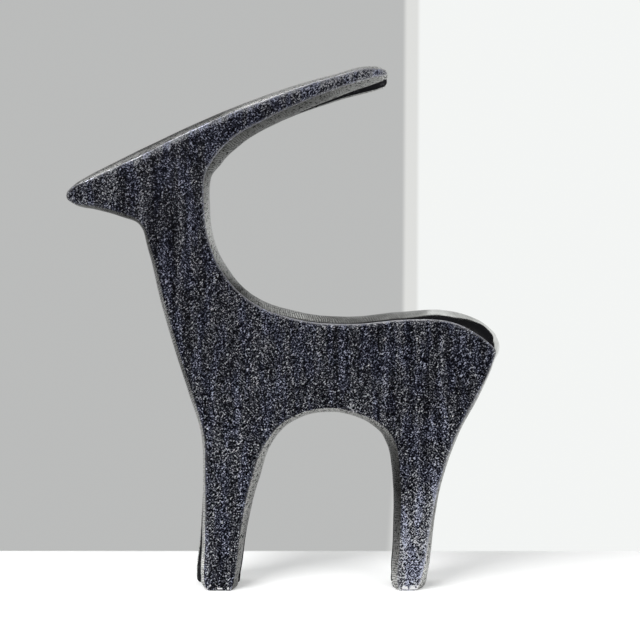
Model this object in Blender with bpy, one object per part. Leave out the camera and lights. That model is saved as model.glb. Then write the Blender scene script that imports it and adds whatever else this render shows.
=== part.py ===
# A standing deer, cast in aluminium as one thick slab: the outline of a deer seen from its side,
# with a single backswept horn, a long open back and two legs under a round arch.
#
# The deer looks along -X, its thickness runs along Y and it stands on the plane z = 0.
# The two flat faces keep the skin of the mould. The edge was ground on a belt all the way round,
# which left it crowned: fullest on the middle plane, falling to a hard corner at each face.
# The horn and the two legs are split from their ends along the middle plane, so that one slab
# gives two horns and four legs. Units are metres.

import math

import bmesh
import bpy
from mathutils import Vector

HEIGHT = 0.400               # soles to the tip of the horn, and the measure of the whole outline
THICKNESS = 0.038            # from one flat face to the other
CROWN_FULLNESS = 1.0         # 1 gives the crowns named in the outline, 0 a straight edge

LEG_SPLIT_HEIGHT = 0.084     # top of the split in each leg, above the ground
LEG_SPLIT_MOUTH = 0.0125     # width of a leg's split at the ground
HORN_SPLIT_LENGTH = 0.070    # how far the split runs in from the tip of the horn
HORN_SPLIT_MOUTH = 0.0125    # width of the horn's split at the tip
SPLIT_ROOT = 0.0026          # width of each split where it starts
SPLIT_OVERRUN = 0.008        # how far a cutter stands out past the metal
LEG_SPLIT_REACH = 4          # width of a leg's cutter in foot widths, as legs widen upwards

FRONT_TOE_LEAD = 0.0055      # the far front toe stands this much further forward than the near one
FRONT_HEEL_LAG = 0.0012      # and its heel this much further back
FAR_HORN_DROP = 0.0050       # the far horn's tip lies this much lower than the near one

CURVE_STEPS = 4              # outline points for each named point
CROWN_BANDS = 8              # bands of facets across the thickness
FOOT_CORNER = 0.008          # lower than this a foot's edge is crowned sideways only
SMOOTH_ANGLE = math.radians(30)

SKIN_COLOUR = (0.060, 0.061, 0.070, 1.0)
SKIN_ROUGHNESS = 0.42
GROUND_COLOUR = (0.42, 0.42, 0.40, 1.0)
GROUND_ROUGHNESS = 0.30
METALLIC = 0.9

# The border of a flat face, clockwise from the front foot: each point's name, its place along
# X and Z in hundredths of HEIGHT, and the crown of the ground edge there in millimetres.
OUTLINE = (
    ("front toe sole", -14.5, 0.0, 4.2),
    ("front toe", -15.1, 0.9, 4.0),
    ("front shin", -15.1, 9.0, 3.6),
    ("front knee", -15.0, 23.0, 3.0),
    ("elbow", -15.2, 30.0, 3.4),
    ("breast", -17.1, 37.5, 4.8),
    ("chest", -19.6, 45.6, 5.0),
    ("neck", -22.5, 55.8, 4.9),
    ("throat", -25.0, 66.0, 4.4),
    ("throat bend", -26.9, 70.7, 3.4),
    ("jaw", -30.6, 72.45, 3.8),
    ("chin", -35.2, 73.6, 3.0),
    ("nose below", -40.2, 74.7, 1.5),
    ("nose", -40.6, 75.6, 3.4),
    ("nose above", -39.9, 76.8, 2.4),
    ("forehead", -36.1, 78.75, 4.6),
    ("brow", -26.7, 83.1, 5.8),
    ("horn root", -15.4, 88.6, 4.8),
    ("horn", -2.4, 93.8, 4.6),
    ("horn end", 9.7, 97.8, 2.8),
    ("horn tip above", 17.4, 99.2, 3.4),
    ("horn tip", 19.4, 98.3, 1.4),
    ("horn tip below", 17.6, 97.75, 4.0),
    ("horn end below", 9.8, 95.4, 5.2),
    ("horn below", -4.3, 89.3, 5.0),
    ("horn root below", -9.9, 85.9, 6.2),
    ("nape", -13.3, 82.1, 5.4),
    ("nape below", -14.6, 79.4, 3.0),
    ("back of the neck", -14.85, 74.0, 2.8),
    ("base of the neck", -14.0, 67.3, 2.2),
    ("shoulder", -11.6, 61.5, 3.4),
    ("withers", -6.5, 56.0, 3.2),
    ("back", 1.3, 52.6, 4.6),
    ("middle of the back", 12.2, 51.4, 4.2),
    ("loin", 24.0, 52.25, 5.0),
    ("croup", 31.5, 51.8, 7.4),
    ("rump", 36.5, 49.55, 10.0),
    ("tail above", 39.4, 47.35, 9.0),
    ("tail", 40.2, 46.4, 5.2),
    ("tail below", 39.85, 44.5, 3.0),
    ("thigh", 36.5, 37.2, 4.0),
    ("thigh end", 33.1, 30.7, 3.8),
    ("hock", 29.55, 20.2, 3.6),
    ("hind shin", 28.3, 13.6, 3.8),
    ("hind toe", 26.2, 1.7, 6.4),
    ("hind toe sole", 25.4, 0.0, 6.0),
    ("hind heel sole", 22.15, 0.0, 4.2),
    ("hind heel", 21.8, 1.4, 3.8),
    ("inside hind shin", 22.2, 8.5, 4.4),
    ("inside hind knee", 22.25, 22.0, 5.2),
    ("arch rear", 20.9, 29.6, 6.8),
    ("arch rear above", 18.2, 32.5, 6.2),
    ("arch top rear", 14.2, 34.3, 4.8),
    ("arch top", 8.8, 35.4, 5.5),
    ("arch front above", 1.4, 33.5, 5.0),
    ("arch front", -3.1, 29.2, 5.0),
    ("inside front knee", -6.0, 22.2, 6.0),
    ("inside front shin", -8.35, 11.1, 4.0),
    ("front heel", -9.65, 1.8, 3.2),
    ("front heel sole", -10.15, 0.0, 3.4),
)

# The straight soles end in these points.
SOLE_ENDS = ("front toe sole", "front heel sole", "hind toe sole", "hind heel sole")

# What was ground after the splits were cut differs a little from the near side to the far side.
# How far a named point of the far face lies from its near twin, along X and Z in metres.
FAR_SIDE = {
    "front toe sole": (-FRONT_TOE_LEAD, 0.0),
    "front toe": (-FRONT_TOE_LEAD, 0.0),
    "front shin": (-0.6 * FRONT_TOE_LEAD, 0.0),
    "front knee": (-0.1 * FRONT_TOE_LEAD, 0.0),
    "inside front shin": (0.4 * FRONT_HEEL_LAG, 0.0),
    "front heel": (FRONT_HEEL_LAG, 0.0),
    "front heel sole": (FRONT_HEEL_LAG, 0.0),
    "horn end": (0.0, -0.2 * FAR_HORN_DROP),
    "horn tip above": (0.0, -0.6 * FAR_HORN_DROP),
    "horn tip": (0.0, -FAR_HORN_DROP),
    "horn tip below": (0.0, -FAR_HORN_DROP),
    "horn end below": (0.0, -0.6 * FAR_HORN_DROP),
}


def clear_scene():
    for old in list(bpy.data.objects):
        bpy.data.objects.remove(old, do_unlink=True)


def new_collection(name):
    collection = bpy.data.collections.new(name)
    bpy.context.scene.collection.children.link(collection)
    return collection


def metal(name, colour, roughness):
    material = bpy.data.materials.new(name)
    material.use_nodes = True
    material.diffuse_color = colour
    shader = material.node_tree.nodes["Principled BSDF"]
    shader.inputs["Base Color"].default_value = colour
    shader.inputs["Roughness"].default_value = roughness
    shader.inputs["Metallic"].default_value = METALLIC
    return material


def place(name):
    """A named point of the near face as (x, z)."""
    for entry in OUTLINE:
        if entry[0] == name:
            return Vector((entry[1], entry[2])) / 100 * HEIGHT


def smooth_border(far_side):
    """The points along a flat face's border: one smooth curve through the named points."""
    curve = bpy.data.curves.new("border", "CURVE")
    curve.dimensions = "2D"
    curve.fill_mode = "NONE"
    curve.resolution_u = CURVE_STEPS
    curve.render_resolution_u = CURVE_STEPS
    spline = curve.splines.new("BEZIER")
    spline.bezier_points.add(len(OUTLINE) - 1)
    spline.use_cyclic_u = True
    for knot, entry in zip(spline.bezier_points, OUTLINE):
        name = entry[0]
        spot = place(name)
        if far_side:
            spot += Vector(FAR_SIDE.get(name, (0.0, 0.0)))
        knot.co = (spot.x, spot.y, 0.0)
        handle = "VECTOR" if name in SOLE_ENDS else "AUTO"
        knot.handle_left_type = handle
        knot.handle_right_type = handle
    guide = bpy.data.objects.new("border", curve)
    bpy.context.scene.collection.objects.link(guide)
    depsgraph = bpy.context.evaluated_depsgraph_get()
    mesh = bpy.data.meshes.new_from_object(guide.evaluated_get(depsgraph))
    border = [vertex.co.to_2d() for vertex in mesh.vertices]
    bpy.data.objects.remove(guide)
    bpy.data.meshes.remove(mesh)
    return border


def border_crowns():
    """The crown of the ground edge at each point of the smooth border."""
    crowns = []
    for index, (name, _, _, crown) in enumerate(OUTLINE):
        next_name, _, _, next_crown = OUTLINE[(index + 1) % len(OUTLINE)]
        straight = name in SOLE_ENDS and next_name in SOLE_ENDS
        steps = 1 if straight else CURVE_STEPS
        for step in range(steps):
            millimetres = crown + (next_crown - crown) * step / steps
            crowns.append(millimetres / 1000 * CROWN_FULLNESS)
    return crowns


def section(border, crowns, depth):
    """The slab's outline at a depth that runs from -1 at the near face to 1 at the far face."""
    swell = 1 - depth * depth
    corners = []
    for index, spot in enumerate(border):
        along = border[(index + 1) % len(border)] - border[index - 1]
        outward = Vector((-along.y, along.x)).normalized()
        if spot.y < FOOT_CORNER:
            outward = Vector((math.copysign(1.0, outward.x), 0.0))
        grown = spot + outward * crowns[index] * swell
        corners.append(Vector((grown.x, depth * THICKNESS / 2, grown.y)))
    return corners


def make_slab(name, collection):
    """The whole slab, lofted through its sections from the near face to the far face."""
    near = smooth_border(far_side=False)
    far = smooth_border(far_side=True)
    crowns = border_crowns()
    loft = bmesh.new()
    rows = []
    for band in range(CROWN_BANDS + 1):
        # Sections stand closer together towards the faces, where the crown falls away fastest.
        depth = -math.cos(math.pi * band / CROWN_BANDS)
        middle = CROWN_BANDS / 2
        border = near if band <= middle else far
        rows.append([loft.verts.new(corner) for corner in section(border, crowns, depth)])
    for row, next_row in zip(rows, rows[1:]):
        for index in range(len(row)):
            before = index - 1
            loft.faces.new((row[before], row[index], next_row[index], next_row[before]))
    skins = [loft.faces.new(rows[0]), loft.faces.new(reversed(rows[-1]))]
    loft.normal_update()
    bmesh.ops.recalc_face_normals(loft, faces=loft.faces)
    for face in loft.faces:
        face.material_index = 0 if face in skins else 1
    mesh = bpy.data.meshes.new(name)
    loft.to_mesh(mesh)
    loft.free()
    mesh.materials.append(metal("mould skin", SKIN_COLOUR, SKIN_ROUGHNESS))
    mesh.materials.append(metal("ground edge", GROUND_COLOUR, GROUND_ROUGHNESS))
    mesh.shade_smooth()
    mesh.set_sharp_from_angle(angle=SMOOTH_ANGLE)
    slab = bpy.data.objects.new(name, mesh)
    collection.objects.link(slab)
    return slab


def make_wedge(name, root, direction, length, mouth, width, collection):
    """A wedge that cuts a split: SPLIT_ROOT wide at its root, opening to mouth at the metal's end.

    It starts at the root, a point (x, z) on the middle plane, and runs along the direction.
    """
    reach = length + SPLIT_OVERRUN
    opening = SPLIT_ROOT + (mouth - SPLIT_ROOT) * reach / length
    across = Vector((-direction.y, direction.x))
    wedge = bmesh.new()
    bmesh.ops.create_cube(wedge, size=1.0)
    for corner in wedge.verts:
        share = corner.co.z + 0.5
        spot = root + direction * reach * share + across * corner.co.x * width
        gap = SPLIT_ROOT + (opening - SPLIT_ROOT) * share
        corner.co = Vector((spot.x, corner.co.y * gap, spot.y))
    wedge.normal_update()
    bmesh.ops.recalc_face_normals(wedge, faces=wedge.faces)
    mesh = bpy.data.meshes.new(name)
    wedge.to_mesh(mesh)
    wedge.free()
    cutter = bpy.data.objects.new(name, mesh)
    cutter.hide_render = True
    cutter.display_type = "WIRE"
    collection.objects.link(cutter)
    return cutter


def leg_wedge(name, toe, heel, collection):
    """The cutter for one leg's split, straight up from between its toe and its heel."""
    toe_spot = place(toe)
    heel_spot = place(heel)
    foot_width = abs(toe_spot.x - heel_spot.x)
    root = Vector(((toe_spot.x + heel_spot.x) / 2, LEG_SPLIT_HEIGHT))
    width = foot_width * LEG_SPLIT_REACH
    down = Vector((0.0, -1.0))
    return make_wedge(name, root, down, LEG_SPLIT_HEIGHT, LEG_SPLIT_MOUTH, width, collection)


def horn_wedge(name, collection):
    """The cutter for the horn's split, along the horn from its tip."""
    above = place("horn tip above")
    below = place("horn tip below")
    thick_end = (place("horn") + place("horn below")) / 2
    along = ((above + below) / 2 - thick_end).normalized()
    root = place("horn tip") - along * HORN_SPLIT_LENGTH
    width = 2 * (place("horn") - place("horn below")).length
    return make_wedge(name, root, along, HORN_SPLIT_LENGTH, HORN_SPLIT_MOUTH, width, collection)


def cut(body, cutter):
    boolean = body.modifiers.new(cutter.name, "BOOLEAN")
    boolean.operation = "DIFFERENCE"
    boolean.solver = "EXACT"
    boolean.object = cutter


def main():
    clear_scene()
    sculpture = new_collection("deer sculpture")
    cutters = new_collection("cutters")
    deer = make_slab("deer", sculpture)
    cut(deer, leg_wedge("front leg split", "front toe", "front heel", cutters))
    cut(deer, leg_wedge("hind leg split", "hind toe", "hind heel", cutters))
    cut(deer, horn_wedge("horn split", cutters))


main()
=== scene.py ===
import math

import bmesh
import bpy
import numpy as np
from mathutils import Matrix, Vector, geometry
from mathutils.bvhtree import BVHTree
from mathutils.kdtree import KDTree


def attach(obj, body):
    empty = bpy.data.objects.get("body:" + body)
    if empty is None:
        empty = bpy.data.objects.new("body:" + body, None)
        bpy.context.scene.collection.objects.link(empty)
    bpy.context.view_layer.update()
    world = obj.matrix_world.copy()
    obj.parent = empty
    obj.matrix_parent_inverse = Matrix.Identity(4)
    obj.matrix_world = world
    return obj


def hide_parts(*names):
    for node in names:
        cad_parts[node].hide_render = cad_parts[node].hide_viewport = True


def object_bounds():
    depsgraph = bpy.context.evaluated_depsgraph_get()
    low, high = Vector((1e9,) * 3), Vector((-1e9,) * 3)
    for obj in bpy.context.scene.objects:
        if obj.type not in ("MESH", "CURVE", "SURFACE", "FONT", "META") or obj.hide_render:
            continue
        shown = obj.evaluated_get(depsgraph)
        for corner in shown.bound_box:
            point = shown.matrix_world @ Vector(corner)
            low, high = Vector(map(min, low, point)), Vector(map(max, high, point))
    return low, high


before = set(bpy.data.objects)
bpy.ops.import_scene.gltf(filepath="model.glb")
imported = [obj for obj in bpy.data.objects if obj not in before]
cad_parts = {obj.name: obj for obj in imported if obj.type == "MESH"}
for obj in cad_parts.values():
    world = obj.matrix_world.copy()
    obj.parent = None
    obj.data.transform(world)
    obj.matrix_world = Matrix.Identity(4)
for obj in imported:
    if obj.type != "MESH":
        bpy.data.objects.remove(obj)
cadLow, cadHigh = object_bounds()

# The deer looks along -X, its thickness runs along Y, and all lengths are metres.
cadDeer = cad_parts["deer"]
halfThickness = (cadHigh.y - cadLow.y) / 2
deerHeight = cadHigh.z

casting = {
    "borderStep": 0.00105,      # from one point to the next along the border of a face
    "nearGrid": 0.00118,        # size of the triangles on the near face
    "farGrid": 0.0015,
    "rowsAcross": 13,           # rows of points across the ground edge
    "arrisRound": 0.00042,      # how far the corner between face and edge is worn back
    "arrisWear": 0.55,          # how much that varies along the border, as a share
    "arrisRubbed": 2.2,         # how much wider it is where the corner is rubbed right down
    "arrisSteps": 4,
    "wearLengths": (4.0, 14.0),  # quick and slow changes of the wear, in steps along the border
    "wearSlow": 0.8,            # how much the slow changes count against the quick ones
    "rowBunching": 0.55,        # how far the rows across the edge crowd towards its corners
    "soleRound": 0.0007,        # round corners of the soles, seen from the side
    "soleHeight": 0.00042,      # lower than this a point of the border belongs to a sole
    "soleHold": 0.30,           # share of a sole, from either end, that keeps the full crown
    "footSpread": 0.35,         # how much fuller the belt left the crown at the soles, as a share
    "footCorner": 0.008,        # lower than this the edge is crowned sideways only
    "footFade": 0.004,          # height over which that turns into a crown square to the border
    "measureShare": 0.40,       # share of half the thickness where the crown is measured
    "measureReach": 0.014,      # how far outside the border a measuring ray starts
    "crownEven": 0.0013,        # the measured crown is evened out over this length
    "gridClear": 0.62,          # space between the grid and the border, in triangle sizes
    "seed": 7,
}

splitCut = {
    "cuts": 22,                 # rows of points on a split's walls
    "overrun": 0.006,           # how far the cutter stands out past the metal
    "legWidth": 0.072,          # width of the cutter across a leg
    "hornWidth": 0.052,
    "gapShares": (0.05, 0.6),   # shares of a split's length where its gap is measured
    "hornRise": 0.85,           # share of the deer's height above which the horn's split begins
    "tipRise": 0.90,            # and above which only the horns' tips lie
}

# How the belt and the years left each stretch of the border, anticlockwise from the front toe, and the
# light and shade painted onto it: name, share of the way round, brightness of the ground edge (painted
# reflection and shade), smoothness of its grinding, wear of the corner into a bright line (bare metal
# and a painted highlight), and rubbing of the skin inside it (a wider worn corner, with a painted
# highlight beside it and painted shade on the very corner and on the edge).
stretches = (
    ("inside front foot", 0.010, 0.42, 0.0, 0.00, 0.00),
    ("inside front leg", 0.050, 0.70, 0.0, 0.10, 0.00),
    ("arch front", 0.082, 0.90, 0.0, 0.10, 0.00),
    ("arch top", 0.106, 1.15, 0.0, 0.00, 0.00),
    ("arch rear", 0.129, 1.10, 0.0, 0.00, 0.00),
    ("inside hind knee", 0.152, 0.30, 0.0, 0.00, 0.00),
    ("inside hind leg", 0.176, 0.06, 0.0, 0.00, 0.00),
    ("inside hind foot", 0.200, 0.34, 0.0, 0.00, 0.00),
    ("hind toe", 0.240, 1.50, 0.0, 0.45, 0.00),
    ("hind shin", 0.268, 0.40, 0.0, 0.45, 0.10),
    ("thigh", 0.300, 0.66, 0.2, 0.20, 0.00),
    ("tail", 0.325, 0.45, 0.6, 0.40, 0.00),
    ("rump", 0.345, 1.20, 1.0, 0.30, 0.00),
    ("croup", 0.365, 1.50, 1.0, 0.30, 0.00),
    ("loin", 0.385, 1.30, 1.0, 1.00, 0.25),
    ("back", 0.411, 0.56, 0.8, 0.90, 0.30),
    ("withers", 0.445, 0.85, 0.4, 0.60, 0.20),
    ("shoulder", 0.475, 0.10, 0.0, 0.30, 0.00),
    ("nape", 0.506, 0.95, 0.0, 0.35, 0.00),
    ("horn root below", 0.530, 0.26, 0.0, 0.35, 0.10),
    ("horn below", 0.576, 0.21, 0.0, 0.25, 0.00),
    ("horn tip below", 0.600, 0.27, 0.0, 0.25, 0.00),
    ("horn tip", 0.624, 0.70, 0.0, 0.50, 0.30),
    ("horn", 0.645, 1.90, 0.3, 1.00, 0.40),
    ("horn root", 0.685, 1.70, 0.2, 0.90, 0.60),
    ("brow", 0.710, 0.36, 0.0, 0.30, 1.00),
    ("forehead", 0.746, 0.22, 0.0, 0.20, 1.00),
    ("nose", 0.765, 0.36, 0.0, 0.40, 0.40),
    ("jaw", 0.788, 0.50, 0.0, 0.10, 0.00),
    ("throat", 0.812, 0.13, 0.0, 0.00, 0.00),
    ("chest", 0.835, 0.20, 0.0, 0.00, 0.00),
    ("breast", 0.865, 0.75, 0.0, 0.00, 0.00),
    ("front knee", 0.900, 0.24, 0.0, 0.00, 0.00),
    ("front shin", 0.935, 2.00, 0.0, 0.10, 0.00),
    ("front toe", 0.965, 2.40, 0.0, 0.10, 0.00),
)


# Small helpers for node trees.

def wire(tree, source, socket):
    if isinstance(source, bpy.types.NodeSocket):
        tree.links.new(source, socket)
    else:
        socket.default_value = source


def sums(tree, operation, first, second=0.0, third=0.0, clamp=False):
    node = tree.nodes.new("ShaderNodeMath")
    node.operation = operation
    node.use_clamp = clamp
    for value, socket in zip((first, second, third), node.inputs):
        wire(tree, value, socket)
    return node.outputs[0]


def ease(tree, value, low, high, start=0.0, end=1.0):
    node = tree.nodes.new("ShaderNodeMapRange")
    node.interpolation_type = "SMOOTHSTEP"
    for entry, name in zip((value, low, high, start, end),
                           ("Value", "From Min", "From Max", "To Min", "To Max")):
        wire(tree, entry, node.inputs[name])
    return node.outputs[0]


def vectors(tree, operation, first, second):
    node = tree.nodes.new("ShaderNodeVectorMath")
    node.operation = operation
    wire(tree, first, node.inputs[0])
    wire(tree, second, node.inputs["Scale" if operation == "SCALE" else 1])
    return node.outputs[0]


def cloud(tree, place, scale, detail=2.0, roughness=0.5):
    node = tree.nodes.new("ShaderNodeTexNoise")
    wire(tree, place, node.inputs["Vector"])
    wire(tree, scale, node.inputs["Scale"])
    wire(tree, detail, node.inputs["Detail"])
    wire(tree, roughness, node.inputs["Roughness"])
    return node.outputs[0]


def blendColours(tree, share, first, second):
    node = tree.nodes.new("ShaderNodeMix")
    node.data_type = "RGBA"
    wire(tree, share, node.inputs[0])
    wire(tree, first, node.inputs[6])
    wire(tree, second, node.inputs[7])
    return node.outputs[2]


# The grain of the cast skin: short ridges that lean both ways, as the sand of the mould left them.
# The relief and the finish share it, so the bright rubbed tops are the real high points.
grain = {
    "size": 0.0018,             # cell of the coarse grain, in the relief and in the finish
    "fineSize": 0.00086,        # cell of the fine grain, in the finish alone
    "lean": 0.80,               # turn of the ridges from upright, in radians
    "stretch": 0.60,            # width of a ridge as a share of its length
    "patchSize": 0.006,         # size of a patch whose ridges lean one way
    "detail": 1.0,
    "roughness": 0.5,
}


def castGrain(tree, place, size):
    scale = sums(tree, "DIVIDE", 1.0, size)
    leaning = []
    for side, shift in ((1, 0.0), (-1, 0.37)):
        turn = tree.nodes.new("ShaderNodeVectorRotate")
        turn.rotation_type = "Y_AXIS"
        wire(tree, place, turn.inputs["Vector"])
        turn.inputs["Angle"].default_value = side * grain["lean"]
        longer = vectors(tree, "MULTIPLY", turn.outputs[0], (1.0, 1.0, grain["stretch"]))
        moved = vectors(tree, "ADD", longer, (shift, shift, shift))
        leaning.append(cloud(tree, moved, scale, grain["detail"], grain["roughness"]))
    patch = ease(tree, cloud(tree, place, 1 / grain["patchSize"], 1.0), 0.42, 0.58)
    change = sums(tree, "SUBTRACT", leaning[1], leaning[0])
    return sums(tree, "MULTIPLY_ADD", patch, change, leaning[0])


# Reading the frame.

def mergedCopy(node):
    solid = bmesh.new()
    solid.from_mesh(node.data)
    bmesh.ops.remove_doubles(solid, verts=solid.verts, dist=2e-6)
    solid.normal_update()
    return solid


def borderKnots(solid, side):
    # the border of a flat face as (x, z) points, anticlockwise seen from the front, from the front toe
    level = side * halfThickness
    flat = {face for face in solid.faces if all(abs(v.co.y - level) < 1e-5 for v in face.verts)}
    following = {}
    for face in flat:
        for loop in face.loops:
            if sum(1 for other in loop.edge.link_faces if other in flat) == 1:
                here, there = loop.vert, loop.link_loop_next.vert
                if side > 0:
                    here, there = there, here
                following[here] = there
    start = min((v for v in following if v.co.z < 1e-5), key=lambda v: v.co.x)
    run = [start]
    while following[run[-1]] is not start:
        run.append(following[run[-1]])
    return np.array([(v.co.x, v.co.z) for v in run])


def soleCorners(knots):
    return knots[:, 1] < 1e-5


def borderCounts(knots, step):
    lengths = np.linalg.norm(np.roll(knots, -1, axis=0) - knots, axis=1)
    return np.maximum(1, np.round(lengths / step)).astype(int)


def smoothBorder(knots, counts):
    # one smooth curve through the knots, with corners only at the ends of the soles
    before = knots - np.roll(knots, 1, axis=0)
    after = np.roll(knots, -1, axis=0) - knots
    lengthBefore = np.linalg.norm(before, axis=1)[:, None]
    lengthAfter = np.linalg.norm(after, axis=1)[:, None]
    arriving = before / lengthBefore
    leaving = after / lengthAfter
    through = (arriving * lengthAfter + leaving * lengthBefore) / (lengthBefore + lengthAfter)
    corner = soleCorners(knots)[:, None]
    leaveWay = np.where(corner, leaving, through)
    arriveWay = np.where(corner, arriving, through)
    run = []
    for index, count in enumerate(counts):
        nextIndex = (index + 1) % len(knots)
        u = (np.arange(count) / count)[:, None]
        pull = lengthAfter[index]
        run.append((2 * u**3 - 3 * u**2 + 1) * knots[index]
                   + (u**3 - 2 * u**2 + u) * pull * leaveWay[index]
                   + (3 * u**2 - 2 * u**3) * knots[nextIndex]
                   + (u**3 - u**2) * pull * arriveWay[nextIndex])
    return np.concatenate(run)


def roundSoles(border):
    # rounds the corners of the soles: a point nearer to a corner than the radius slides onto the arc
    radius = casting["soleRound"]
    rounded = border.copy()
    low = np.where(border[:, 1] < 1e-6)[0]
    gaps = np.where(np.diff(low) > 1)[0]
    runs = np.split(low, gaps + 1)
    for run in runs:
        for cornerIndex, inward in ((run[0], 1), (run[-1], -1)):
            corner = border[cornerIndex]
            middle = corner + (inward * radius, radius)
            for index in range(cornerIndex - 4, cornerIndex + 5):
                spot = border[index % len(border)]
                away = spot - middle
                outside = away[0] * inward < 0 and away[1] < 0
                if outside and np.hypot(*away) > radius:
                    rounded[index % len(border)] = middle + away / np.hypot(*away) * radius
    return rounded


def outwardWays(border):
    along = np.roll(border, -1, axis=0) - np.roll(border, 1, axis=0)
    ways = np.stack((along[:, 1], -along[:, 0]), axis=1)
    return ways / np.linalg.norm(ways, axis=1)[:, None]


def evenOut(values, step, length):
    reach = int(3 * length / step)
    spread = np.exp(-0.5 * (np.arange(-reach, reach + 1) * step / length) ** 2)
    looped = np.concatenate((values[-reach:], values, values[:reach]))
    return np.convolve(looped, spread / spread.sum(), mode="valid")


def crownVectors(border, ways, tree):
    # how far the ground edge stands out from the border on the middle plane, as (x, z)
    fade = casting["footFade"]
    low = np.clip((fade + casting["footCorner"] - border[:, 1]) / fade, 0, 1)[:, None]
    level = np.stack((np.where(ways[:, 0] < 0, -1.0, 1.0), np.zeros(len(ways))), axis=1)
    crownWays = ways * (1 - low) + level * low
    crownWays /= np.linalg.norm(crownWays, axis=1)[:, None]
    depth = casting["measureShare"] * halfThickness
    reach = casting["measureReach"]
    sole = border[:, 1] < casting["soleHeight"]
    crowns = np.full(len(border), np.nan)
    for index in np.where(~sole)[0]:
        way = Vector((crownWays[index, 0], 0.0, crownWays[index, 1]))
        start = Vector((border[index, 0], -depth, border[index, 1])) + way * reach
        hit = tree.ray_cast(start, -way, reach * 2)[0]
        if hit is not None:
            crowns[index] = max(0.0, reach - (hit - start).length)
    known = ~np.isnan(crowns)
    places = np.arange(len(border))
    crowns = np.interp(places, places[known], crowns[known], period=len(border))
    crowns = evenOut(crowns, casting["borderStep"], casting["crownEven"])
    footShare = np.clip(1 - border[:, 1] / casting["footCorner"], 0, 1)
    crowns *= 1 + casting["footSpread"] * footShare
    vectorsOut = crownWays * (crowns / (1 - casting["measureShare"] ** 2))[:, None]
    # along a sole the crown leans forwards at the toe and backwards at the heel
    sides = places[~sole]
    spot = np.searchsorted(sides, places[sole])
    before = sides[spot - 1]
    after = sides[spot % len(sides)]
    share = ((places[sole] - before) % len(border)) / ((after - before) % len(border))
    hold = casting["soleHold"]
    lean = np.clip((share - hold) / (1 - 2 * hold), 0, 1)[:, None]
    vectorsOut[sole] = vectorsOut[before] * (1 - lean) + vectorsOut[after] * lean
    vectorsOut[sole, 1] = 0.0
    return vectorsOut


def wearAlong(count, seed):
    # slow random wear round the border, from 0 to 1, the same each run
    random = np.random.default_rng(seed)
    quick, slow = casting["wearLengths"]
    wear = evenOut(random.normal(size=count), 1.0, quick)
    wear += casting["wearSlow"] * evenOut(random.normal(size=count), 1.0, slow)
    return (wear - wear.min()) / (wear.max() - wear.min())


def wayRound(border):
    # each point's share of the way round the border
    step = np.linalg.norm(np.roll(border, -1, axis=0) - border, axis=1)
    return np.concatenate(([0.0], np.cumsum(step)[:-1])) / step.sum()


def looksAt(shares):
    # brightness (painted reflection and shade), smoothness, wear with its painted highlight, and
    # rubbing with its painted light, at shares of the way round
    places, *looks = (np.array(column) for column in list(zip(*stretches))[1:])
    return [np.interp(shares, places, look, period=1) for look in looks]


def edgeRings(near, far, crown):
    # rings of (x, y, z) from the near face, over the arris, across the ground edge to the far face
    half = halfThickness
    wear = wearAlong(len(near), casting["seed"])
    wornBack = casting["arrisRound"] * (1 + casting["arrisWear"] * (2 * wear - 1))
    wornBack *= 1 + casting["arrisRubbed"] * looksAt(wayRound(near))[3] ** 2
    rings = []

    def ring(flat, depth):
        return np.stack((flat[:, 0], np.broadcast_to(depth, len(flat)), flat[:, 1]), axis=1)

    def arris(border, side):
        ways = outwardWays(border)
        onFace = ring(border - ways * wornBack[:, None], side * half)
        corner = ring(border, side * half)
        share = 1 - wornBack / half
        onEdge = ring(border + crown * (1 - share ** 2)[:, None], side * half * share)
        steps = []
        for step in range(casting["arrisSteps"] + 1):
            u = step / casting["arrisSteps"]
            steps.append((1 - u) ** 2 * onFace + 2 * u * (1 - u) * corner + u ** 2 * onEdge)
        return steps

    rings.extend(arris(near, -1))
    edge = 1 - wornBack.max() / half
    rows = casting["rowsAcross"]
    bunching = casting["rowBunching"]
    for row in range(1, rows + 1):
        crossed = row / (rows + 1)
        depth = edge * (-math.cos(math.pi * crossed) * bunching + (2 * crossed - 1) * (1 - bunching))
        share = min(max(depth / casting["measureShare"], 0.0), 1.0)
        border = near * (1 - share) + far * share
        rings.append(ring(border + crown * (1 - depth ** 2), depth * half))
    rings.extend(reversed(arris(far, 1)))
    return rings


def gridInside(outline, size):
    # a grid of equal triangles' corners that lie inside the outline and clear of it
    heights = np.arange(outline[:, 1].min() + size * 0.5, outline[:, 1].max(), size * math.sqrt(3) / 2)
    nextPoint = np.roll(outline, -1, axis=0)
    spots = []
    for row, height in enumerate(heights):
        crossing = (outline[:, 1] > height) != (nextPoint[:, 1] > height)
        start, end = outline[crossing], nextPoint[crossing]
        climbed = (height - start[:, 1]) / (end[:, 1] - start[:, 1])
        xs = np.sort(start[:, 0] + climbed * (end[:, 0] - start[:, 0]))
        lattice = np.arange(outline[:, 0].min(), outline[:, 0].max(), size) + (row % 2) * size / 2
        for left, right in zip(xs[::2], xs[1::2]):
            spots.extend((x, height) for x in lattice if left < x < right)
    border = KDTree(len(outline))
    for index, spot in enumerate(outline):
        border.insert((spot[0], spot[1], 0.0), index)
    border.balance()
    clear = size * casting["gridClear"]
    return [spot for spot in spots if border.find((spot[0], spot[1], 0.0))[2] > clear]


def fillFace(outline, size):
    # triangles over a flat face: indices below len(outline) are the outline's own points
    millimetres = 1000
    spots = [Vector(spot) * millimetres for spot in outline.tolist()]
    spots += [Vector(spot) * millimetres for spot in gridInside(outline, size)]
    count = len(outline)
    edges = [(index, (index + 1) % count) for index in range(count)]
    coords, _, faces, originals, _, _ = geometry.delaunay_2d_cdt(spots, edges, [], 1, 1e-7)
    source = [entry[0] for entry in originals]
    triangles = [[source[corner] for corner in face] for face in faces]
    return np.array(spots) / millimetres, triangles


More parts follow.
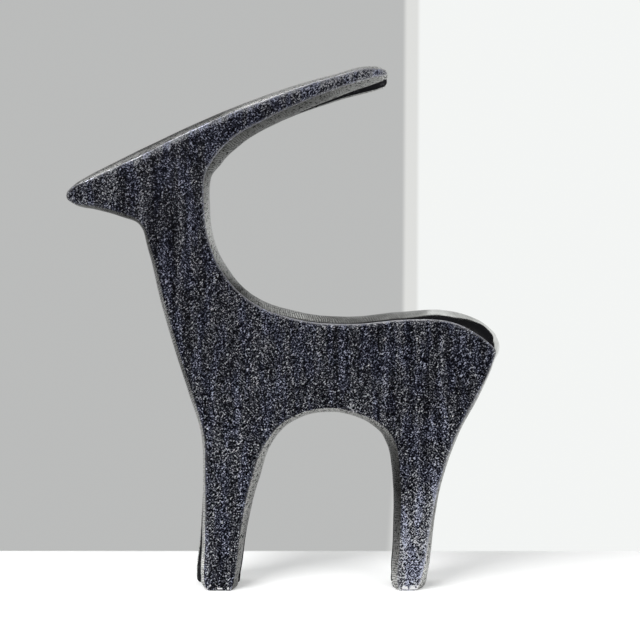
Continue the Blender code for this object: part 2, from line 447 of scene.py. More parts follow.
def wholeCasting(solid):
    tree = BVHTree.FromBMesh(solid)
    nearKnots = borderKnots(solid, -1)
    farKnots = borderKnots(solid, 1)
    counts = borderCounts(nearKnots, casting["borderStep"])
    near = roundSoles(smoothBorder(nearKnots, counts))
    far = roundSoles(smoothBorder(farKnots, counts))
    crown = crownVectors(near, outwardWays(near), tree)
    rings = edgeRings(near, far, crown)
    count = len(near)
    # the smooth border swings a hair past the drawn one, so it is held inside the solid's box
    verts = np.clip(np.concatenate(rings), cadLow, cadHigh)
    faces = []
    kinds = []
    skinBands = casting["arrisSteps"] - 1
    lastRing = len(rings) - 1
    for band in range(lastRing):
        skin = band < skinBands or band >= lastRing - skinBands
        for index in range(count):
            nextIndex = (index + 1) % count
            faces.append((band * count + index, band * count + nextIndex,
                          (band + 1) * count + nextIndex, (band + 1) * count + index))
            kinds.append(0 if skin else 1)
    for side, ringIndex, size in ((-1, 0, casting["nearGrid"]), (1, lastRing, casting["farGrid"])):
        outline = rings[ringIndex][:, (0, 2)]
        spots, triangles = fillFace(outline, size)
        inner = spots[count:]
        first = len(verts)
        verts = np.concatenate((verts, np.stack(
            (inner[:, 0], np.full(len(inner), side * halfThickness), inner[:, 1]), axis=1)))
        for triangle in triangles:
            faces.append([ringIndex * count + c if c < count else first + c - count for c in triangle])
            kinds.append(0)
    mesh = bpy.data.meshes.new("deerCasting")
    mesh.from_pydata(verts.tolist(), [], faces)
    mesh.polygons.foreach_set("material_index", kinds)
    shape = bmesh.new()
    shape.from_mesh(mesh)
    bmesh.ops.recalc_face_normals(shape, faces=shape.faces)
    shape.to_mesh(mesh)
    shape.free()
    print("casting:", len(mesh.polygons), "faces, border of", count, "points")
    return mesh, near, far


# The splits: their roots are found on the frame as narrow flat bottoms on the middle plane.

def readSplits(solid):
    # each split as its name, its root, the way out of it, its length, half its gap and how that grows
    tree = BVHTree.FromBMesh(solid)
    feet = sorted(x for x, z in borderKnots(solid, -1) if z < 1e-5)
    splits = []
    for name, toe, heel in (("frontLeg", feet[0], feet[1]), ("hindLeg", feet[2], feet[3])):
        middle = (toe + heel) / 2
        root = tree.ray_cast(Vector((middle, 0.0, -0.001)), Vector((0.0, 0.0, 1.0)))[0]
        splits.append((name, root, Vector((0.0, 0.0, -1.0)), root.z))
    tip = max((face for face in solid.faces
               if abs(face.normal.y) < 0.01 and face.normal.x > 0.9
               and max(abs(v.co.y) for v in face.verts) < 0.002
               and face.calc_center_median().z > deerHeight * splitCut["hornRise"]),
              key=lambda face: face.calc_area())
    along = tip.normal.copy()
    along.y = 0.0
    along.normalize()
    corners = [v.co for face in solid.faces for v in face.verts
               if face.normal.dot(along) > 0.999 and abs((v.co - tip.verts[0].co).dot(along)) < 1e-4]
    root = sum(corners, Vector()) / len(corners)
    root.y = 0.0
    tips = [v.co for v in solid.verts if v.co.z > deerHeight * splitCut["tipRise"]]
    splits.append(("horn", root, along, max((spot - root).dot(along) for spot in tips)))
    found = []
    firstShare, secondShare = splitCut["gapShares"]
    for name, root, way, length in splits:
        gaps = []
        for share in splitCut["gapShares"]:
            spot = root + way * length * share
            gaps.append(tree.ray_cast(spot, Vector((0.0, 1.0, 0.0)))[3])
        slope = (gaps[1] - gaps[0]) / (length * (secondShare - firstShare))
        rootHalf = gaps[0] - slope * length * firstShare
        print("split", name, "root", tuple(round(c * 1000, 2) for c in root),
              "half gap", round(rootHalf * 1000, 2), "slope", round(slope, 4))
        found.append((name, root, way, length, rootHalf, slope))
    return found


def splitCutter(name, root, way, length, rootHalf, slope, width):
    reach = length + splitCut["overrun"]
    across = Vector((-way.z, 0.0, way.x))
    wedge = bmesh.new()
    bmesh.ops.create_cube(wedge, size=1.0)
    longEdges = [edge for edge in wedge.edges
                 if abs(edge.verts[0].co.y - edge.verts[1].co.y) < 1e-6]
    bmesh.ops.subdivide_edges(wedge, edges=longEdges, cuts=splitCut["cuts"], use_grid_fill=True)
    for corner in wedge.verts:
        share = corner.co.z + 0.5
        spot = root + way * reach * share + across * corner.co.x * width
        gap = 2 * (rootHalf + slope * reach * share)
        corner.co = Vector((spot.x, corner.co.y * gap, spot.z))
    wedge.normal_update()
    bmesh.ops.recalc_face_normals(wedge, faces=wedge.faces)
    mesh = bpy.data.meshes.new(name)
    wedge.to_mesh(mesh)
    wedge.free()
    mesh.materials.append(bpy.data.materials["splitWall"])
    cutter = bpy.data.objects.new(name, mesh)
    bpy.context.scene.collection.objects.link(cutter)
    return cutter


def evaluatedMesh(piece):
    depsgraph = bpy.context.evaluated_depsgraph_get()
    return bpy.data.meshes.new_from_object(piece.evaluated_get(depsgraph), depsgraph=depsgraph)


def cutSplits(piece, solid):
    cutters = []
    for name, root, way, length, rootHalf, slope in readSplits(solid):
        width = splitCut["hornWidth" if name == "horn" else "legWidth"]
        cutter = splitCutter(name + "Split", root, way, length, rootHalf, slope, width)
        boolean = piece.modifiers.new(cutter.name, "BOOLEAN")
        boolean.operation = "DIFFERENCE"
        boolean.solver = "EXACT"
        boolean.material_mode = "TRANSFER"
        boolean.object = cutter
        cutters.append(cutter)
    cutMesh = evaluatedMesh(piece)
    piece.modifiers.clear()
    piece.data = cutMesh
    for cutter in cutters:
        bpy.data.objects.remove(cutter)
    print("splits cut:", len(cutMesh.polygons), "faces")


def markPlaces(mesh, near, far):
    # what the relief and the finishes need to know at each point
    count = len(mesh.vertices)
    spots = np.zeros(count * 3)
    mesh.vertices.foreach_get("co", spots)
    spots = spots.reshape(-1, 3)
    length = np.linalg.norm(np.roll(near, -1, axis=0) - near, axis=1).sum()
    runLength = wayRound(near) * length
    fromRim = np.zeros(count)
    edgeRun = np.zeros(count)
    for side, border in ((-1, near), (1, far)):
        ways = outwardWays(border)
        lookup = KDTree(len(border))
        for index, spot in enumerate(border):
            lookup.insert((spot[0], spot[1], 0.0), index)
        lookup.balance()
        for index in np.where(spots[:, 1] * side >= 0)[0]:
            _, nearest, away = lookup.find((spots[index, 0], spots[index, 2], 0.0))
            out = ways[nearest]
            past = spots[index, (0, 2)] - border[nearest]
            fromRim[index] = away
            edgeRun[index] = runLength[nearest] + past[1] * out[0] - past[0] * out[1]
    edgeReflectionAndShade, buffed, cornerWearAndHighlight, rimRubbedAndPaintedLight = looksAt(edgeRun / length)
    kindOfFace = np.zeros(len(mesh.polygons), dtype=int)
    mesh.polygons.foreach_get("material_index", kindOfFace)
    wallVerts = np.zeros(count)
    edgeVerts = np.zeros(count)
    for polygon, kind in zip(mesh.polygons, kindOfFace):
        if kind == 2:
            wallVerts[list(polygon.vertices)] = 1.0
        if kind == 1:
            edgeVerts[list(polygon.vertices)] = 1.0
    skin = (np.abs(spots[:, 1]) > halfThickness - 1e-6).astype(float)
    edge = edgeVerts * (1 - wallVerts) * (1 - skin)
    places = {"fromRim": fromRim, "edgeRun": edgeRun, "edgeReflectionAndShade": edgeReflectionAndShade, "buffed": buffed,
              "cornerWearAndHighlight": cornerWearAndHighlight, "rimRubbedAndPaintedLight": rimRubbedAndPaintedLight, "skin": skin, "edge": edge, "wall": wallVerts}
    for name, values in places.items():
        attribute = mesh.attributes.new(name, "FLOAT", "POINT")
        attribute.data.foreach_set("value", values.astype(np.float32))
    finish = mesh.attributes.new("finish", "INT", "FACE")
    finish.data.foreach_set("value", kindOfFace.astype(np.int32))


# The relief: grain on the faces, belt chatter on the ground edge, nicks along the soles.

relief = {
    "Grain size": grain["size"],
    "Grain depth": 0.00020,
    "Swell depth": 0.00012,
    "Chatter length": 0.0065,
    "Chatter depth": 0.00010,
    "Nick size": 0.0030,
    "Nick depth": 0.00070,
    "Nick height": 0.0045,
}

# the relief's name for each kind of face, and the finish that it takes
faceFinishes = {"Skin": "antiqueSkin", "Ground edge": "groundEdge", "Split wall": "splitWall"}


def reliefTree():
    tree = bpy.data.node_groups.new("castRelief", "GeometryNodeTree")
    face = tree.interface
    face.new_socket(name="Geometry", in_out="OUTPUT", socket_type="NodeSocketGeometry")
    face.new_socket(name="Geometry", in_out="INPUT", socket_type="NodeSocketGeometry")
    keys = {}
    for kind, names in (("NodeSocketFloat", relief), ("NodeSocketMaterial", faceFinishes)):
        for name in names:
            keys[name] = face.new_socket(name=name, in_out="INPUT", socket_type=kind).identifier
    given = tree.nodes.new("NodeGroupInput").outputs

    def kept(name, kind="FLOAT"):
        node = tree.nodes.new("GeometryNodeInputNamedAttribute")
        node.data_type = kind
        node.inputs["Name"].default_value = name
        return node.outputs[0]

    place = tree.nodes.new("GeometryNodeInputPosition").outputs[0]
    parts = tree.nodes.new("ShaderNodeSeparateXYZ")
    wire(tree, place, parts.inputs[0])
    inset = ease(tree, kept("fromRim"), 0.0005, 0.0016)

    # grain sinks from the face, and its tops stay on it
    ridges = castGrain(tree, place, given["Grain size"])
    valleys = ease(tree, ridges, 0.35, 0.65, 1.0, 0.0)
    grainSink = sums(tree, "MULTIPLY", valleys, given["Grain depth"])
    swell = cloud(tree, place, 60.0, 1.0)
    swellSink = sums(tree, "MULTIPLY", swell, given["Swell depth"])
    skinSink = sums(tree, "MULTIPLY", sums(tree, "ADD", grainSink, swellSink),
                    sums(tree, "MULTIPLY", kept("skin"), inset))

    # the belt left low waves that cross the edge at a slant
    chatterPlace = tree.nodes.new("ShaderNodeCombineXYZ")
    waves = sums(tree, "DIVIDE", sums(tree, "MULTIPLY_ADD", parts.outputs[1], 0.35, kept("edgeRun")),
                 given["Chatter length"])
    wire(tree, waves, chatterPlace.inputs[0])
    wire(tree, sums(tree, "MULTIPLY", parts.outputs[1], 40.0), chatterPlace.inputs[1])
    chatter = cloud(tree, chatterPlace.outputs[0], 1.0, 2.0)
    waveSink = sums(tree, "MULTIPLY", chatter, given["Chatter depth"])
    edgeSink = sums(tree, "MULTIPLY", waveSink, kept("edge"))

    # nicks where the soles' corners were knocked
    low = ease(tree, parts.outputs[2], 0.0, given["Nick height"], 1.0, 0.0)
    offGround = ease(tree, parts.outputs[2], 0.0, 0.0003)
    knocks = cloud(tree, place, sums(tree, "DIVIDE", 1.0, given["Nick size"]), 1.0)
    nearGround = sums(tree, "MULTIPLY", low, offGround)
    nick = sums(tree, "MULTIPLY", ease(tree, knocks, 0.56, 0.66), nearGround)
    nickSink = sums(tree, "MULTIPLY", nick, given["Nick depth"])
    nickSink = sums(tree, "MULTIPLY", nickSink, sums(tree, "SUBTRACT", 1.0, kept("wall")))

    sink = sums(tree, "ADD", sums(tree, "ADD", skinSink, edgeSink), nickSink)
    normal = tree.nodes.new("GeometryNodeInputNormal").outputs[0]
    inwards = vectors(tree, "SCALE", normal, sums(tree, "MULTIPLY", sink, -1.0))
    move = tree.nodes.new("GeometryNodeSetPosition")
    wire(tree, given["Geometry"], move.inputs["Geometry"])
    wire(tree, inwards, move.inputs["Offset"])
    real = tree.nodes.new("GeometryNodeRealizeInstances")
    wire(tree, move.outputs[0], real.inputs[0])
    shape = real.outputs[0]
    for index, name in enumerate(faceFinishes):
        same = tree.nodes.new("FunctionNodeCompare")
        same.data_type = "INT"
        same.operation = "EQUAL"
        wire(tree, kept("finish", "INT"), same.inputs[2])
        same.inputs[3].default_value = index
        dress = tree.nodes.new("GeometryNodeSetMaterial")
        wire(tree, shape, dress.inputs["Geometry"])
        wire(tree, same.outputs[0], dress.inputs["Selection"])
        wire(tree, given[name], dress.inputs["Material"])
        shape = dress.outputs[0]
    wire(tree, shape, tree.nodes.new("NodeGroupOutput").inputs[0])
    return tree, keys


def applyRelief(piece):
    tree, keys = reliefTree()
    modifier = piece.modifiers.new("castRelief", "NODES")
    modifier.node_group = tree
    for name, value in relief.items():
        modifier[keys[name]] = value
    for name, material in faceFinishes.items():
        modifier[keys[name]] = bpy.data.materials[material]
    shaped = evaluatedMesh(piece)
    piece.modifiers.clear()
    piece.data = shaped
    print("relief:", len(shaped.polygons), "faces,", [m.name for m in shaped.materials])


# Finishes.

skinFinish = {
    # tone of the grain from its valleys to its rubbed tops
    "tones": ((0.16, (0.0020, 0.0020, 0.0028)), (0.34, (0.0078, 0.0080, 0.0108)),
              (0.50, (0.0328, 0.0340, 0.0435)), (0.64, (0.0935, 0.0965, 0.1140)),
              (0.80, (0.2640, 0.2730, 0.3020)), (0.96, (0.6200, 0.6280, 0.6500))),
    "blueShift": (0.93, 0.96, 1.13),
    "blueBands": (120.0, 4.0, 30.0),  # scale of the bluish bands along, through and up the deer
    "bareMetalHighlight": (0.62, 0.62, 0.65, 1.0),
    "middleTone": 0.400,
    "fineShare": 2.85,          # how much the fine grain moves the tone, and so on below
    "coarseShare": 0.34,
    "bandShare": 0.66,
    "patchShare": 0.12,
    "legLighterShare": 0.27,
    "tipShare": 0.20,
    "rimHighlightShare": 0.44,
    "bandWidth": 0.0062,        # width of a soft upright band
    "flankMiddle": -0.015,      # where along the deer the upright bands are faintest
    "flankReach": (0.030, 0.060),
    "flankBands": 0.35,         # share of their strength that they keep there
    "patchScale": 28.0,
    "legSlope": -0.8,           # slant of the line where the hind leg starts to grow lighter
    "legReach": (0.022, -0.042),
    "tipReach": (0.364, 0.390),  # heights between which the horn grows brighter
    "rimReach": (0.0056, 0.0020),  # distances from the border where the painted highlight beside a rubbed rim starts and is full
    "cornerReach": (0.0012, 0.0004),
    "wornReach": (0.0011, 0.0003),
    "cornerPaintedShade": 0.64,       # how much painted shade dims the very corner where the rim is rubbed
    "ragged": 0.006,            # how unevenly the bright line of the corner ends, in metres
    "chip": (0.82, 0.82, 0.83, 1.0),
    "chipScale": 330.0,
    "chipHeights": (0.0065, 0.0010),  # heights where the chips start and are thickest
    "chipFootShade": (0.0007, 0.0013),  # heights below and above which there are none and all of them; below them the skin stays dark, a painted contact shadow
    "chipLift": 0.32,
    "chipEdge": (0.74, 0.82),
    "metallic": 1.0,
    "bump": 0.00016,
}

edgeFinish = {
    "light": (0.62, 0.62, 0.61, 1.0),
    "dull": (0.27, 0.27, 0.26, 1.0),
    "pit": (0.03, 0.03, 0.03, 1.0),
    "brightest": (0.95, 0.95, 0.95),  # no stretch of the edge returns more than this
    "rimShadeDimming": 0.32,      # painted shade: how much less it mirrors at a slant along the head and the horn
    "lineSpacing": 0.00180,
    "lineSlant": -0.22,
    "lineWander": 1.8,
    "lineDepths": (0.24, 0.56),  # faintest and deepest belt lines
    "pitScale": 620.0,
    "pitEdge": (0.43, 0.38),    # values of the noise where a pit starts and is full
    "smoothing": 0.18,          # how much less rough it is where the grinding is smooth
    "bump": 0.00004,
}

splitFinish = {
    "deep": (0.006, 0.006, 0.008, 1.0),
    "rubbed": (0.10, 0.10, 0.11, 1.0),
    "grainScale": 420.0,
    "metallic": 0.6,
    "bump": 0.0003,
}


def newMaterial(name):
    material = bpy.data.materials.new(name)
    material.use_nodes = True
    tree = material.node_tree
    return tree, tree.nodes["Principled BSDF"]


def bumpNode(tree, height, distance, strength):
    bump = tree.nodes.new("ShaderNodeBump")
    wire(tree, height, bump.inputs["Height"])
    bump.inputs["Distance"].default_value = distance
    bump.inputs["Strength"].default_value = strength
    return bump.outputs[0]


def toneRamp(tree, tone, steps):
    ramp = tree.nodes.new("ShaderNodeValToRGB")
    stops = ramp.color_ramp.elements
    while len(stops) < len(steps):
        stops.new(0.5)
    for stop, (position, colour) in zip(stops, steps):
        stop.position = position
        stop.color = (*colour, 1.0)
    wire(tree, tone, ramp.inputs[0])
    return ramp.outputs[0]


def stored(tree, name):
    node = tree.nodes.new("ShaderNodeAttribute")
    node.attribute_name = name
    return node.outputs["Fac"]


def centred(tree, value, share):
    return sums(tree, "MULTIPLY", sums(tree, "SUBTRACT", value, 0.5), share)


def total(tree, values):
    result = values[0]
    for value in values[1:]:
        result = sums(tree, "ADD", result, value)
    return result


def antiqueSkin():
    tree, shader = newMaterial("antiqueSkin")
    place = tree.nodes.new("ShaderNodeTexCoord").outputs["Object"]
    parts = tree.nodes.new("ShaderNodeSeparateXYZ")
    wire(tree, place, parts.inputs[0])
    height = parts.outputs[2]
    fromRim = stored(tree, "fromRim")
    rimRubbedAndPaintedLight = stored(tree, "rimRubbedAndPaintedLight")
    coarse = castGrain(tree, place, grain["size"])
    fine = castGrain(tree, place, grain["fineSize"])
    bandScale = 1 / skinFinish["bandWidth"]
    # soft upright bands, fainter on the flank than on the neck and the rump
    bands = cloud(tree, vectors(tree, "MULTIPLY", place, (bandScale, 4.0, 12.0)), 1.0, 1.5)
    flank = sums(tree, "ABSOLUTE", sums(tree, "SUBTRACT", parts.outputs[0], skinFinish["flankMiddle"]))
    strength = ease(tree, flank, *skinFinish["flankReach"], skinFinish["flankBands"], 1.0)
    bandShare = sums(tree, "MULTIPLY", strength, skinFinish["bandShare"])
    patches = cloud(tree, place, skinFinish["patchScale"], 2.0)
    # the tone grows lighter down the hind leg and towards the horn's tip
    footward = sums(tree, "MULTIPLY_ADD", parts.outputs[0], skinFinish["legSlope"], height)
    rubbed = ease(tree, footward, *skinFinish["legReach"])
    tipward = ease(tree, height, *skinFinish["tipReach"])
    # beside a rubbed rim the skin is lightened, a painted highlight
    rimHighlight = sums(tree, "MULTIPLY", ease(tree, fromRim, *skinFinish["rimReach"]), rimRubbedAndPaintedLight)
    tone = total(tree, (
        skinFinish["middleTone"],
        centred(tree, fine, skinFinish["fineShare"]),
        centred(tree, coarse, skinFinish["coarseShare"]),
        centred(tree, bands, bandShare),
        centred(tree, patches, skinFinish["patchShare"]),
        sums(tree, "MULTIPLY", rubbed, skinFinish["legLighterShare"]),
        sums(tree, "MULTIPLY", tipward, skinFinish["tipShare"]),
        sums(tree, "MULTIPLY", rimHighlight, skinFinish["rimHighlightShare"])))
    colour = toneRamp(tree, tone, skinFinish["tones"])
    blueBands = cloud(tree, vectors(tree, "MULTIPLY", place, skinFinish["blueBands"]), 1.0, 2.0)
    bluer = vectors(tree, "MULTIPLY", colour, skinFinish["blueShift"])
    colour = blendColours(tree, ease(tree, blueBands, 0.44, 0.60), colour, bluer)
    # the corner is worn to a bright line of bare metal, strongest where the light catches it, so partly
    # a painted highlight, and ragged on its inner side; where the rim is rubbed the very corner is
    # darkened with painted shade
    jitter = sums(tree, "ADD", fromRim, centred(tree, fine, skinFinish["ragged"]))
    wornLineAndHighlight = sums(tree, "MULTIPLY", ease(tree, jitter, *skinFinish["wornReach"]), stored(tree, "cornerWearAndHighlight"))
    colour = blendColours(tree, wornLineAndHighlight, colour, skinFinish["bareMetalHighlight"])
    corner = sums(tree, "MULTIPLY", ease(tree, fromRim, *skinFinish["cornerReach"]), rimRubbedAndPaintedLight)
    cornerShading = sums(tree, "MULTIPLY_ADD", corner, -skinFinish["cornerPaintedShade"], 1.0)
    colour = vectors(tree, "SCALE", colour, cornerShading)
    # the skin is chipped at the soles, more on the hind foot; at the very ground it keeps no chips and
    # stays dark, a painted contact shadow
    chipCloud = cloud(tree, place, skinFinish["chipScale"], 1.5)
    chipLift = ease(tree, height, *skinFinish["chipHeights"], 0.0, skinFinish["chipLift"])
    chipLift = sums(tree, "MULTIPLY", chipLift, ease(tree, parts.outputs[0], -0.05, 0.08, 0.85, 1.12))
    chip = ease(tree, sums(tree, "ADD", chipCloud, chipLift), *skinFinish["chipEdge"])
    chip = sums(tree, "MULTIPLY", chip, ease(tree, height, *skinFinish["chipFootShade"]))
    colour = blendColours(tree, chip, colour, skinFinish["chip"])
    wire(tree, colour, shader.inputs["Base Color"])
    shader.inputs["Metallic"].default_value = skinFinish["metallic"]
    wire(tree, ease(tree, tone, 0.3, 0.9, 0.52, 0.36), shader.inputs["Roughness"])
    rough = sums(tree, "MULTIPLY_ADD", coarse, 0.6, fine)
    wire(tree, bumpNode(tree, rough, skinFinish["bump"], 0.8), shader.inputs["Normal"])


def groundEdge():
    tree, shader = newMaterial("groundEdge")
    place = tree.nodes.new("ShaderNodeTexCoord").outputs["Object"]
    parts = tree.nodes.new("ShaderNodeSeparateXYZ")
    wire(tree, place, parts.inputs[0])
    across = parts.outputs[1]
    edgeReflectionAndShade = stored(tree, "edgeReflectionAndShade")
    buffed = stored(tree, "buffed")
    # belt lines cross the edge at a slant, some deeper than others
    slanted = sums(tree, "MULTIPLY_ADD", across, edgeFinish["lineSlant"], stored(tree, "edgeRun"))
    along = sums(tree, "DIVIDE", slanted, edgeFinish["lineSpacing"])
    wander = centred(tree, cloud(tree, place, 110.0, 1.0), edgeFinish["lineWander"])
    wave = sums(tree, "SINE", sums(tree, "MULTIPLY", sums(tree, "ADD", along, wander), 2 * math.pi))
    # scratches run with the lines and are longer than they are wide
    linePlace = tree.nodes.new("ShaderNodeCombineXYZ")
    wire(tree, along, linePlace.inputs[0])
    wire(tree, sums(tree, "MULTIPLY", across, 60.0), linePlace.inputs[1])
    scratches = cloud(tree, linePlace.outputs[0], 1.6, 2.0, 0.6)
    rougher = sums(tree, "SUBTRACT", 1.0, buffed)
    deeper = ease(tree, cloud(tree, place, 70.0, 1.0), 0.35, 0.60, *edgeFinish["lineDepths"])
    depth = sums(tree, "MULTIPLY", deeper, rougher)
    patches = cloud(tree, place, 45.0, 3.0)
    evenness = sums(tree, "MULTIPLY_ADD", rougher, 0.8, 0.2)
    scratched = sums(tree, "MULTIPLY_ADD", sums(tree, "SUBTRACT", scratches, 0.5), evenness, 0.5)
    lines = sums(tree, "MULTIPLY_ADD", wave, depth, scratched)
    dull = sums(tree, "ADD", centred(tree, patches, 0.7), lines)
    colour = blendColours(tree, ease(tree, dull, 0.25, 0.75), edgeFinish["dull"], edgeFinish["light"])
    # pits of the casting that the belt didn't reach
    pits = cloud(tree, place, edgeFinish["pitScale"], 1.0)
    pit = sums(tree, "MULTIPLY", ease(tree, pits, *edgeFinish["pitEdge"]), rougher)
    # each stretch's brightness, a painted reflection and shade, scales the colour
    shaded = vectors(tree, "SCALE", blendColours(tree, pit, colour, edgeFinish["pit"]), edgeReflectionAndShade)
    shaded = vectors(tree, "MINIMUM", shaded, edgeFinish["brightest"])
    wire(tree, shaded, shader.inputs["Base Color"])
    shader.inputs["Metallic"].default_value = 1.0
    # seen at a glancing angle it is dimmed too: by each stretch's painted reflection and shade, along
    # the lines, with painted shade beside rubbed skin, and in the pits
    lineGlance = ease(tree, dull, 0.25, 0.75, 0.65, 1.1)
    glance = sums(tree, "MULTIPLY", ease(tree, edgeReflectionAndShade, 0.0, 0.5, 0.70, 1.0), lineGlance)
    dimming = sums(tree, "MULTIPLY", stored(tree, "rimRubbedAndPaintedLight"), -edgeFinish["rimShadeDimming"])
    glance = sums(tree, "MULTIPLY", glance, sums(tree, "ADD", dimming, 1.0))
    glance = sums(tree, "MULTIPLY", glance, sums(tree, "MULTIPLY_ADD", pit, -0.8, 1.0), clamp=True)
    tint = blendColours(tree, glance, edgeFinish["pit"], (1.0, 1.0, 1.0, 1.0))
    wire(tree, tint, shader.inputs["Specular Tint"])
    plain = ease(tree, dull, 0.25, 0.75, 0.34, 0.26)
    roughness = sums(tree, "MULTIPLY_ADD", buffed, -edgeFinish["smoothing"], plain)
    wire(tree, roughness, shader.inputs["Roughness"])
    uneven = sums(tree, "MULTIPLY", lines, sums(tree, "MULTIPLY_ADD", buffed, -0.8, 1.0))
    wire(tree, bumpNode(tree, uneven, edgeFinish["bump"], 0.7), shader.inputs["Normal"])


def splitWall():
    tree, shader = newMaterial("splitWall")
    place = tree.nodes.new("ShaderNodeTexCoord").outputs["Object"]
    rough = cloud(tree, place, splitFinish["grainScale"], 3.0, 0.6)
    tops = ease(tree, rough, 0.55, 0.80)
    colour = blendColours(tree, tops, splitFinish["deep"], splitFinish["rubbed"])
    wire(tree, colour, shader.inputs["Base Color"])
    shader.inputs["Metallic"].default_value = splitFinish["metallic"]
    wire(tree, ease(tree, rough, 0.3, 0.7, 0.65, 0.45), shader.inputs["Roughness"])
    wire(tree, bumpNode(tree, rough, splitFinish["bump"], 0.8), shader.inputs["Normal"])


# The studio: a white table top in a round cove that glows grey on the left and white on the right.

studio = {
    "floorRadius": 1.45,
    "coveRadius": 0.35,
    "wallHeight": 3.00,
    "coveSteps": 12,
    "roundSteps": 96,
    "frontFade": (-0.1, -0.7),            # the wall darkens from here on, towards the camera
    "tableEnds": (0.9, 1.3),              # how far the table top reaches to the sides and the front
    "paintTop": 2.60,                     # how high the paint reaches behind the deer
    "screenEnd": 1.12,                    # how far right the white screen reaches
    "sideTop": 1.05,                      # how high the paint reaches to the right of it
    "tableColour": (0.92, 0.92, 0.92, 1.0),
    # the table top also glows faintly, a painted light that lifts it and softens the deer's shadows on
    # it
    "tableGlow": (0.170, 0.173, 0.170, 1.0),
    "tableBack": 0.105,                   # how far behind the deer the table top ends
    "screenEdge": 0.100,                  # where the white screen on the right begins there
    "screenSlant": 0.067,
    "screenRim": 0.035,                   # width of the greyer strip at the screen's edge
    "rimColour": (0.730, 0.735, 0.720, 1.0),
    "backColour": (0.494, 0.500, 0.496, 1.0),
    "screenColour": (0.900, 0.915, 0.905, 1.0),
    "frontColour": (0.120, 0.120, 0.125, 1.0),
    "worldColour": (0.012, 0.012, 0.014, 1.0),
}

# place, aim, size across, size down, watts
softLights = {
    "keyLight": ((-0.95, -1.15, 1.45), (0.0, 0.0, 0.15), 1.10, 0.90, 38.0),
    "fillLight": ((1.05, -1.00, 1.50), (0.0, 0.0, 0.15), 1.20, 1.00, 14.0),
    "rearLight": ((-0.75, 0.75, 1.30), (-0.08, 0.0, 0.30), 0.70, 0.60, 3.6),
}


def coveFinish():
    tree, shader = newMaterial("covePaint")
    place = tree.nodes.new("ShaderNodeTexCoord").outputs["Object"]
    parts = tree.nodes.new("ShaderNodeSeparateXYZ")
    wire(tree, place, parts.inputs[0])
    x, y, z = parts.outputs
    behind = sums(tree, "SUBTRACT", y, studio["tableBack"])
    screen = sums(tree, "SUBTRACT", x, sums(tree, "MULTIPLY_ADD", behind, studio["screenSlant"],
                                            studio["screenEdge"]))
    rim = studio["screenRim"]
    wall = blendColours(tree, ease(tree, screen, -rim / 2, -rim / 2 + 0.012), studio["backColour"],
                        studio["rimColour"])
    inner = ease(tree, screen, rim / 2 - 0.006, rim / 2 + 0.004)
    wall = blendColours(tree, inner, wall, studio["screenColour"])
    wall = blendColours(tree, ease(tree, y, *studio["frontFade"]), wall, studio["frontColour"])
    reach, end = studio["tableEnds"]
    beyond = total(tree, (ease(tree, behind, -0.003, 0.003), ease(tree, y, -reach, -end),
                          ease(tree, sums(tree, "ABSOLUTE", x), reach, end)))
    beyond = sums(tree, "MINIMUM", beyond, 1.0)
    # above the paint it is as dark as the room
    side = studio["screenEnd"]
    top = ease(tree, x, side - 0.05, side + 0.05, studio["paintTop"], studio["sideTop"])
    above = ease(tree, sums(tree, "SUBTRACT", z, top), -0.01, 0.01)
    wall = blendColours(tree, above, wall, studio["worldColour"])
    nothing = (0.0, 0.0, 0.0, 1.0)
    wire(tree, blendColours(tree, beyond, studio["tableColour"], nothing), shader.inputs["Base Color"])
    # the table top's glow is painted light
    wire(tree, blendColours(tree, beyond, studio["tableGlow"], wall), shader.inputs["Emission Color"])
    shader.inputs["Emission Strength"].default_value = 1.0
    shader.inputs["Roughness"].default_value = 0.9
    shader.inputs["Specular IOR Level"].default_value = 0.0


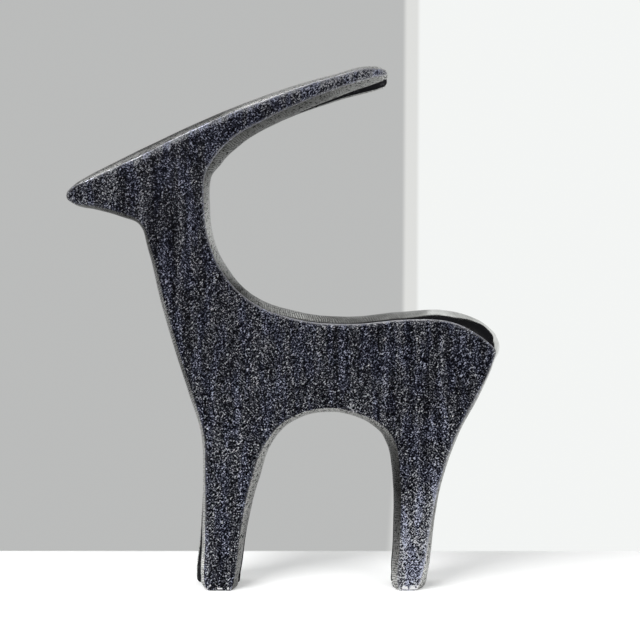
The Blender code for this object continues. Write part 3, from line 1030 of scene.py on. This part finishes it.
def buildStudio():
    steps = studio["coveSteps"]
    profile = [(0.0, 0.0), (studio["floorRadius"], 0.0)]
    for step in range(1, steps + 1):
        angle = math.pi / 2 * step / steps
        profile.append((studio["floorRadius"] + studio["coveRadius"] * math.sin(angle),
                        studio["coveRadius"] * (1 - math.cos(angle))))
    profile.append((profile[-1][0], studio["wallHeight"]))
    shape = bmesh.new()
    points = [shape.verts.new((x, 0.0, z)) for x, z in profile]
    lines = [shape.edges.new(pair) for pair in zip(points, points[1:])]
    bmesh.ops.spin(shape, geom=points + lines, cent=(0, 0, 0), axis=(0, 0, 1), angle=2 * math.pi,
                   steps=studio["roundSteps"], use_merge=True)
    bmesh.ops.remove_doubles(shape, verts=shape.verts, dist=1e-5)
    bmesh.ops.recalc_face_normals(shape, faces=shape.faces)
    mesh = bpy.data.meshes.new("studioCove")
    shape.to_mesh(mesh)
    shape.free()
    mesh.shade_smooth()
    coveFinish()
    mesh.materials.append(bpy.data.materials["covePaint"])
    cove = bpy.data.objects.new("studioCove", mesh)
    bpy.context.scene.collection.objects.link(cove)
    world = bpy.data.worlds.new("studioAir")
    world.use_nodes = True
    world.node_tree.nodes["Background"].inputs["Color"].default_value = studio["worldColour"]
    bpy.context.scene.world = world
    for name, (place, aim, across, down, watts) in softLights.items():
        light = bpy.data.lights.new(name, "AREA")
        light.shape = "RECTANGLE"
        light.size = across
        light.size_y = down
        light.energy = watts
        lamp = bpy.data.objects.new(name, light)
        lamp.location = place
        lamp.rotation_euler = (Vector(aim) - Vector(place)).to_track_quat("-Z", "Y").to_euler()
        bpy.context.scene.collection.objects.link(lamp)


photoCamera = {
    "place": (0.02773, -1.0559, 0.29016),
    "lookDown": math.atan(108 / 1375),     # the horizon lies 108 pixels above the photo's middle
    "lens": 77.34,                         # a focal length of 1375 pixels on a frame 640 wide
}


def buildCamera():
    data = bpy.data.cameras.new("photoCamera")
    data.sensor_width = 36.0
    data.lens = photoCamera["lens"]
    data.clip_start = 0.05
    data.clip_end = 20.0
    camera = bpy.data.objects.new("photoCamera", data)
    camera.location = photoCamera["place"]
    camera.rotation_euler = (math.pi / 2 - photoCamera["lookDown"], 0.0, 0.0)
    bpy.context.scene.collection.objects.link(camera)
    bpy.context.scene.camera = camera


def buildDeer():
    antiqueSkin()
    groundEdge()
    splitWall()
    solid = mergedCopy(cadDeer)
    mesh, near, far = wholeCasting(solid)
    for name in faceFinishes.values():
        mesh.materials.append(bpy.data.materials[name])
    deer = bpy.data.objects.new("deerCasting", mesh)
    bpy.context.scene.collection.objects.link(deer)
    cutSplits(deer, solid)
    solid.free()
    deer.data.shade_smooth()
    deer.data.set_sharp_from_angle(angle=math.radians(55))
    markPlaces(deer.data, near, far)
    applyRelief(deer)
    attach(deer, "root")
    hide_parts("deer")


buildDeer()
buildStudio()
buildCamera()
bpy.context.scene.view_settings.view_transform = "Standard"
